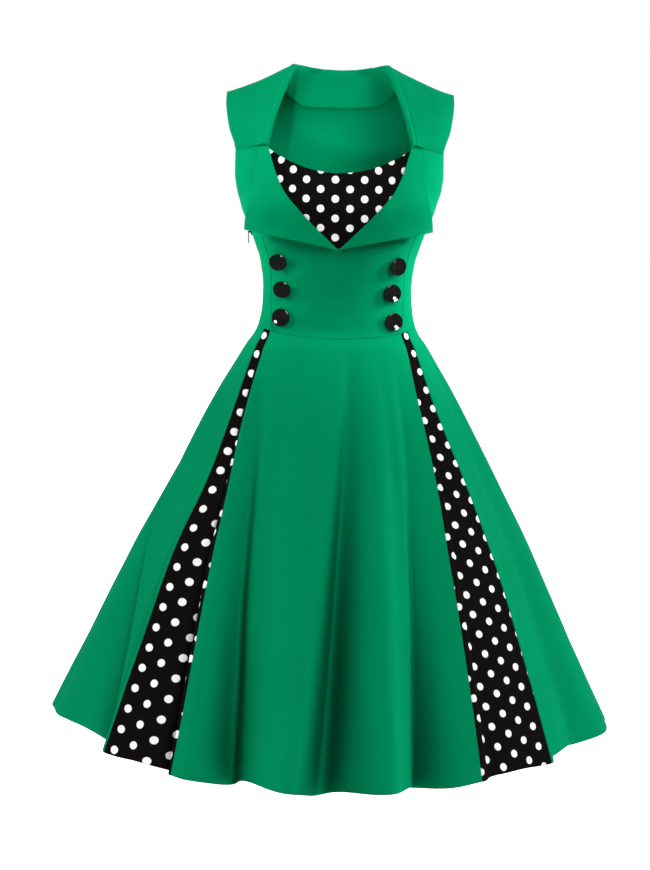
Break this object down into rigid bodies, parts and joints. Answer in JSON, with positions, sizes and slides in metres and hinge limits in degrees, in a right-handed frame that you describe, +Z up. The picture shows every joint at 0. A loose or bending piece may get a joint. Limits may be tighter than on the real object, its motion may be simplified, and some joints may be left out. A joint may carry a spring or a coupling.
{
  "type": "a-line dress",
  "caption": "Sleeveless swing dress in worn, hollow form: wide folded collar and lapels, dotted V insert and skirt gores, buttoned midriff, flared skirt, side zip.",
  "frame": {"origin": "middle of the shoulder line, midway between the two shoulder tips, where the wearer's shoulders hold the dress", "axes": "+Z up along the body, -Y towards the front of the dress, +X towards the wearer's left"},
  "size_m": [0.8509, 0.6929, 1.0092],
  "materials": {
    "green_cotton": "matt cotton sateen, emerald green",
    "dotted_cotton": "matt black cotton with white dots",
    "black_button": "glossy black resin",
    "zip_metal": "dark green lacquer"
  },
  "bodies": {
    "dress": {"midriff_front": "green_cotton", "front_left": "green_cotton", "front_right": "green_cotton", "side_front_left": "green_cotton", "side_front_right": "green_cotton", "bodice_back": "green_cotton", "collar": "green_cotton", "lapel_left": "green_cotton", "lapel_right": "green_cotton", "skirt_front": "green_cotton", "skirt_side_right": "green_cotton", "skirt_side_left": "green_cotton", "skirt_back_left": "green_cotton", "skirt_back_right": "green_cotton", "front_insert": "dotted_cotton", "skirt_gore_right": "dotted_cotton", "skirt_gore_left": "dotted_cotton", "button_right_top": "black_button", "button_right_middle": "black_button", "button_right_low": "black_button", "button_left_top": "black_button", "button_left_middle": "black_button", "button_left_low": "black_button", "zip_slider": "zip_metal"},
    "zip_pull": {"zip_pull": "zip_metal"}
  },
  "joints": [
    {"name": "pull_swing", "type": "hinge", "parent": "dress", "child": "zip_pull", "pos_m": [-0.1345, 0, -0.204], "axis": [0, 1, 0], "range_deg": [-25, 130]}
  ]
}
